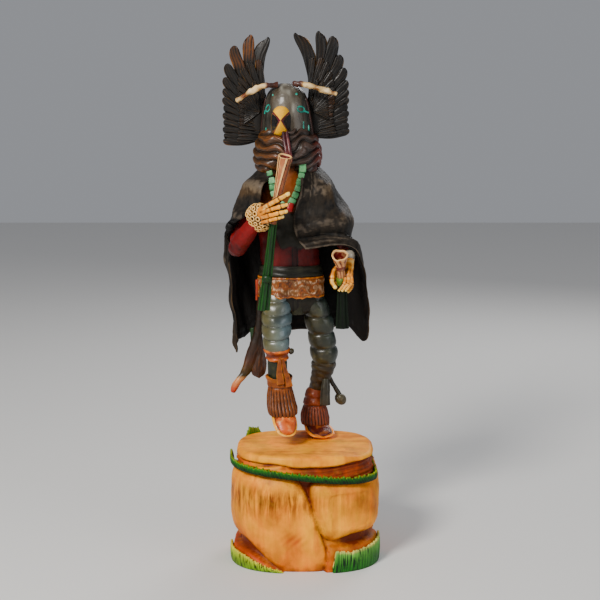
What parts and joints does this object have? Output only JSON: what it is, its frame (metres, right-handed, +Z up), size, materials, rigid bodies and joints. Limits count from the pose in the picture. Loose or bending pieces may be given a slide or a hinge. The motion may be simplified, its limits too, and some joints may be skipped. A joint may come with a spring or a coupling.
{
  "type": "kachina doll",
  "caption": "Carved and painted masked dancer in a dark robe, with feather fans and whips, on a stained rock base.",
  "frame": {"origin": "on the rock base's flat underside, 2 mm in front of its centre", "axes": "+Z up through the dancer, -Y the way the dancer faces, +X towards the figure's own left hand"},
  "size_m": [0.1224, 0.1043, 0.4024],
  "materials": {
    "rock_stain": "satin stain",
    "grass_paint": "matte paint",
    "robe_paint": "matte paint",
    "mask_paint": "satin paint",
    "turquoise_paint": "satin paint",
    "fur_paint": "satin paint",
    "shirt_paint": "satin paint",
    "belt_paint": "satin paint",
    "skin_paint": "satin paint",
    "legging_paint": "satin paint",
    "leather_paint": "satin paint",
    "pelt_paint": "satin paint",
    "beak_paint": "gloss paint",
    "feather_paint": "satin paint",
    "plume_paint": "satin paint",
    "cane_paint": "satin paint",
    "leaf_paint": "satin paint"
  },
  "bodies": {
    "root": {"rock_base": "rock_stain", "figure": "robe_paint", "beak": "beak_paint", "wing_right": "feather_paint", "wing_left": "feather_paint", "plume_right": "plume_paint", "plume_left": "plume_paint", "whip_right": "leaf_paint", "whip_left": "leaf_paint"}
  },
  "joints": []
}
